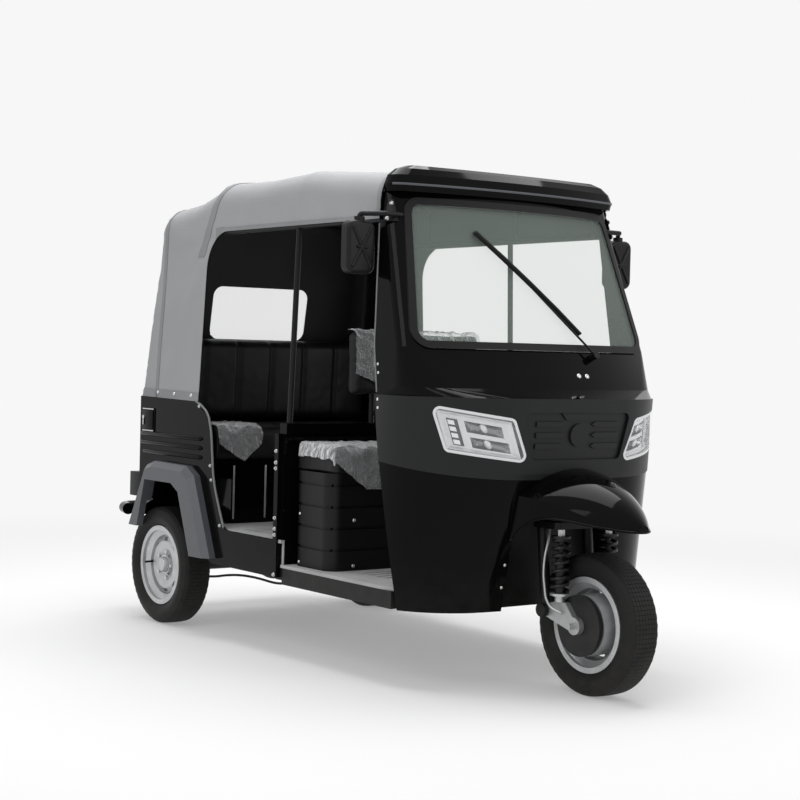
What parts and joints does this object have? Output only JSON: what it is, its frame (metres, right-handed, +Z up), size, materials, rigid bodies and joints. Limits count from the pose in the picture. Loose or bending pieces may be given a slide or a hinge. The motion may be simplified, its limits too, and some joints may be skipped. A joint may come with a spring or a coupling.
{
  "type": "auto rickshaw",
  "caption": "Three-wheeled auto rickshaw with a single steered front wheel, curved cowl and windscreen, open doorways, driver's seat, passenger bench and canvas roof.",
  "frame": {"origin": "on the ground under the middle of the vehicle's length and width", "axes": "+X forward, +Y to the vehicle's left, +Z up"},
  "size_m": [2.726, 1.362, 1.865],
  "materials": {
    "black_paint": "glossy black paint",
    "band_plastic": "dark grey moulded plastic",
    "flare_plastic": "satin dark grey plastic",
    "canvas": "grey coated canvas",
    "clear_film": "clear flexible window film",
    "glass": "clear laminated glass",
    "lens": "clear moulded lens",
    "red_lens": "red lens",
    "lamp_bowl": "bright reflector",
    "frame_paint": "satin black chassis paint",
    "floor_mat": "grey floor covering",
    "rubber": "black rubber",
    "tyre": "black tyre rubber",
    "wheel_silver": "silver wheel paint",
    "cast_alloy": "cast alloy",
    "black_plastic": "black plastic",
    "seat_cover": "black seat cover",
    "steel": "dark steel"
  },
  "bodies": {
    "chassis": {"chassis_frame": "frame_paint", "floor_pan": "floor_mat", "front_cowl_lower": "black_paint", "front_band": "band_plastic", "grille": "band_plastic", "headlamp_housings": "lamp_bowl", "headlamp_lenses": "lens", "front_cowl_upper": "black_paint", "windscreen_gasket": "rubber", "windscreen_glass": "glass", "roof_visor": "black_paint", "front_fender": "black_paint", "front_bulkhead": "frame_paint", "steering_head": "frame_paint", "wiper": "black_plastic", "mirrors": "black_plastic", "door_posts": "frame_paint", "canopy_frame": "frame_paint", "canopy": "canvas", "rear_window": "clear_film", "rear_quarters": "black_paint", "tail_panel": "black_paint", "tail_lamps": "red_lens", "fender_flares": "flare_plastic", "partition": "black_paint", "driver_seat_base": "black_plastic", "battery_block": "black_plastic", "driver_seat_cushion": "seat_cover", "driver_seat_back": "seat_cover", "bench_base": "black_paint", "bench_cushion": "seat_cover", "bench_back": "seat_cover", "rear_axle": "steel", "leaf_springs": "steel", "rear_shocks": "steel", "rear_bumper": "black_paint", "tow_lug": "steel", "brake_cable": "rubber"},
    "steering": {"fork": "frame_paint", "link_arms": "cast_alloy", "front_shocks": "steel", "front_brake_plate": "steel", "handlebar": "black_plastic"},
    "front_wheel": {"front_tyre": "tyre", "front_rim": "wheel_silver"},
    "rear_wheel_right": {"rear_tyre_right": "tyre", "rear_rim_right": "wheel_silver"},
    "rear_wheel_left": {"rear_tyre_left": "tyre", "rear_rim_left": "wheel_silver"}
  },
  "joints": [
    {"name": "steering_turn", "type": "hinge", "parent": "chassis", "child": "steering", "pos_m": [0.84834, 0, 0.7], "axis": [-0.4067, 0, 0.9135], "range_deg": [-40, 40]},
    {"name": "front_wheel_spin", "type": "hinge", "parent": "steering", "child": "front_wheel", "pos_m": [1.115, 0, 0.247], "axis": [0, 1, 0], "continuous": true},
    {"name": "rear_wheel_right_spin", "type": "hinge", "parent": "chassis", "child": "rear_wheel_right", "pos_m": [-0.965, -0.524, 0.247], "axis": [0, 1, 0], "continuous": true},
    {"name": "rear_wheel_left_spin", "type": "hinge", "parent": "chassis", "child": "rear_wheel_left", "pos_m": [-0.965, 0.524, 0.247], "axis": [0, 1, 0], "continuous": true}
  ]
}
